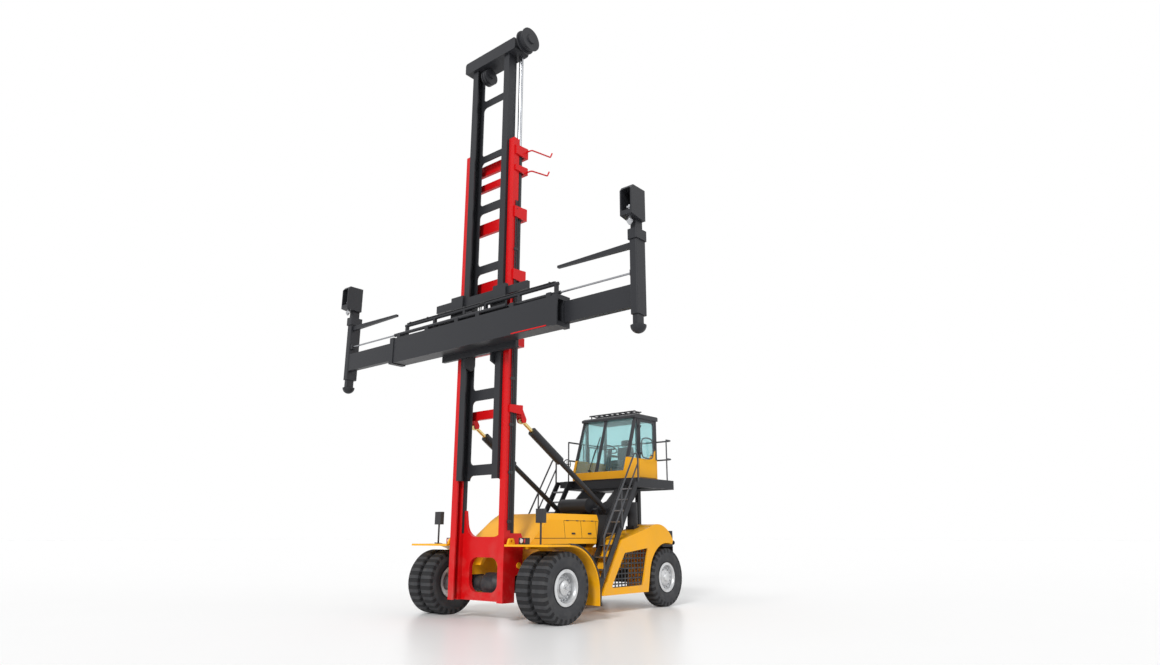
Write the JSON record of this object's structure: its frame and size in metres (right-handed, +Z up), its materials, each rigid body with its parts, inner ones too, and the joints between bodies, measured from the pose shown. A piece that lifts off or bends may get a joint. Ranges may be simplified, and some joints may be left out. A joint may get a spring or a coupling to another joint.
{
  "type": "empty container handler",
  "caption": "Mast truck that lifts empty containers with a telescopic side-lift spreader: two-stage mast, raised cab with stairs, twin front tyres and steered rear wheels.",
  "frame": {"origin": "on the ground, middle of the overall box in plan, with the mast upright and the spreader centred", "axes": "+Z up along the mast, the machine drives towards -Y, +X is its left side, along the spreader"},
  "size_m": [9.45, 7.052, 13.5499],
  "materials": {
    "yellow_paint": "semi-gloss machine paint",
    "red_paint": "semi-gloss machine paint",
    "charcoal_paint": "satin machine paint",
    "grey_paint": "satin paint",
    "cab_paint": "satin paint",
    "cast_weight": "painted casting",
    "tyre_rubber": "matt rubber",
    "rim_paint": "silver paint",
    "rod_chrome": "polished",
    "tilt_steel": "oiled steel",
    "steel": "machined",
    "window_glass": "clear tinted",
    "seat_fabric": "woven",
    "black_plastic": "matt"
  },
  "bodies": {
    "chassis": {"main_frame": "yellow_paint", "front_axle": "charcoal_paint", "steer_axle": "charcoal_paint", "engine_block": "charcoal_paint", "hood": "yellow_paint", "front_fender_left": "yellow_paint", "front_fender_right": "yellow_paint", "side_body_left": "yellow_paint", "side_body_right": "yellow_paint", "side_grilles": "charcoal_paint", "counterweight": "cast_weight", "cab_support": "charcoal_paint", "platform": "charcoal_paint", "stairs": "charcoal_paint", "handrails": "grey_paint", "cab_base": "yellow_paint", "cab_frame": "cab_paint", "cab_glass": "window_glass", "roof_guard": "cab_paint", "cab_seat": "seat_fabric", "steering_column": "black_plastic", "lamps": "black_plastic", "air_cleaner": "yellow_paint", "exhaust_stack": "charcoal_paint"},
    "door": {"cab_door": "cab_paint", "door_glass": "window_glass"},
    "mast": {"outer_mast": "red_paint", "lift_barrels": "red_paint", "hose_arms": "grey_paint"},
    "upper_mast": {"inner_mast": "charcoal_paint", "lift_rods": "rod_chrome", "hose_drum": "charcoal_paint"},
    "carriage": {"carriage": "charcoal_paint"},
    "spreader": {"spreader_beam": "charcoal_paint", "spreader_rails": "charcoal_paint"},
    "wheel_front_left": {"front_tyres_left": "tyre_rubber", "front_rims_left": "rim_paint"},
    "knuckle_left": {"knuckle_left": "steel"},
    "wheel_rear_left": {"rear_tyre_left": "tyre_rubber", "rear_rim_left": "rim_paint"},
    "telescope_left": {"telescope_left": "charcoal_paint", "telescope_rod_left": "rod_chrome"},
    "twistlock_left": {"twistlock_left": "steel"},
    "tilt_barrel_left": {"tilt_barrel_left": "red_paint"},
    "tilt_rod_left": {"tilt_rod_left": "tilt_steel"},
    "wheel_front_right": {"front_tyres_right": "tyre_rubber", "front_rims_right": "rim_paint"},
    "knuckle_right": {"knuckle_right": "steel"},
    "wheel_rear_right": {"rear_tyre_right": "tyre_rubber", "rear_rim_right": "rim_paint"},
    "telescope_right": {"telescope_right": "charcoal_paint", "telescope_rod_right": "rod_chrome"},
    "twistlock_right": {"twistlock_right": "steel"},
    "tilt_barrel_right": {"tilt_barrel_right": "red_paint"},
    "tilt_rod_right": {"tilt_rod_right": "tilt_steel"}
  },
  "joints": [
    {"name": "front_wheel_left", "type": "hinge", "parent": "chassis", "child": "wheel_front_left", "pos_m": [1.673, -2.224, 0.685], "axis": [1, 0, 0], "continuous": true},
    {"name": "front_wheel_right", "type": "hinge", "parent": "chassis", "child": "wheel_front_right", "pos_m": [-1.673, -2.224, 0.685], "axis": [1, 0, 0], "continuous": true},
    {"name": "steer_left", "type": "hinge", "parent": "chassis", "child": "knuckle_left", "pos_m": [0.95, 2.406, 0.685], "axis": [0, 0, 1], "range_deg": [-50, 50]},
    {"name": "steer_right", "type": "hinge", "parent": "chassis", "child": "knuckle_right", "pos_m": [-0.95, 2.406, 0.685], "axis": [0, 0, 1], "range_deg": [-50, 50]},
    {"name": "rear_wheel_left", "type": "hinge", "parent": "knuckle_left", "child": "wheel_rear_left", "pos_m": [1.174, 2.406, 0.685], "axis": [1, 0, 0], "continuous": true},
    {"name": "rear_wheel_right", "type": "hinge", "parent": "knuckle_right", "child": "wheel_rear_right", "pos_m": [-1.174, 2.406, 0.685], "axis": [1, 0, 0], "continuous": true},
    {"name": "mast_tilt", "type": "hinge", "parent": "chassis", "child": "mast", "pos_m": [0, -2.344, 1.08], "axis": [1, 0, 0], "range_deg": [-3, 3]},
    {"name": "tilt_swing_left", "type": "hinge", "parent": "chassis", "child": "tilt_barrel_left", "pos_m": [0.75, 0.746, 2.245], "axis": [1, 0, 0], "range_deg": [-1.6, 1.6]},
    {"name": "tilt_stroke_left", "type": "slide", "parent": "tilt_barrel_left", "child": "tilt_rod_left", "axis": [0, -0.851, 0.5251], "range_m": [-0.14, 0.14]},
    {"name": "tilt_swing_right", "type": "hinge", "parent": "chassis", "child": "tilt_barrel_right", "pos_m": [-0.75, 0.746, 2.245], "axis": [1, 0, 0], "range_deg": [-1.6, 1.6]},
    {"name": "tilt_stroke_right", "type": "slide", "parent": "tilt_barrel_right", "child": "tilt_rod_right", "axis": [0, -0.851, 0.5251], "range_m": [-0.14, 0.14]},
    {"name": "mast_lift", "type": "slide", "parent": "mast", "child": "upper_mast", "axis": [0, 0, 1], "range_m": [-2.3, 5.6]},
    {"name": "carriage_lift", "type": "slide", "parent": "upper_mast", "child": "carriage", "axis": [0, 0, 1], "range_m": [-2.3, 5.6]},
    {"name": "side_shift", "type": "slide", "parent": "carriage", "child": "spreader", "axis": [1, 0, 0], "range_m": [-0.4, 0.4]},
    {"name": "telescope_left", "type": "slide", "parent": "spreader", "child": "telescope_left", "axis": [1, 0, 0], "range_m": [-1.648, 1.418]},
    {"name": "telescope_right", "type": "slide", "parent": "spreader", "child": "telescope_right", "axis": [-1, 0, 0], "range_m": [-1.648, 1.418]},
    {"name": "twistlock_left", "type": "hinge", "parent": "telescope_left", "child": "twistlock_left", "pos_m": [4.575, -3.406, 7.35], "axis": [0, 0, 1], "range_deg": [0, 90]},
    {"name": "twistlock_right", "type": "hinge", "parent": "telescope_right", "child": "twistlock_right", "pos_m": [-4.575, -3.406, 7.35], "axis": [0, 0, 1], "range_deg": [0, 90]},
    {"name": "cab_door", "type": "hinge", "parent": "chassis", "child": "door", "pos_m": [0.89, 1.946, 3.73], "axis": [0, 0, -1], "range_deg": [0, 85]}
  ],
  "couplings": [
    {"joint": "steer_right", "follows": "steer_left", "ratio": 1},
    {"joint": "carriage_lift", "follows": "mast_lift", "ratio": 1},
    {"joint": "telescope_right", "follows": "telescope_left", "ratio": 1},
    {"joint": "twistlock_right", "follows": "twistlock_left", "ratio": 1},
    {"joint": "tilt_swing_left", "follows": "mast_tilt", "ratio": 0.42566},
    {"joint": "tilt_stroke_left", "follows": "mast_tilt", "m_per_rad": 2.6141},
    {"joint": "tilt_swing_right", "follows": "mast_tilt", "ratio": 0.42566},
    {"joint": "tilt_stroke_right", "follows": "mast_tilt", "m_per_rad": 2.6141}
  ]
}
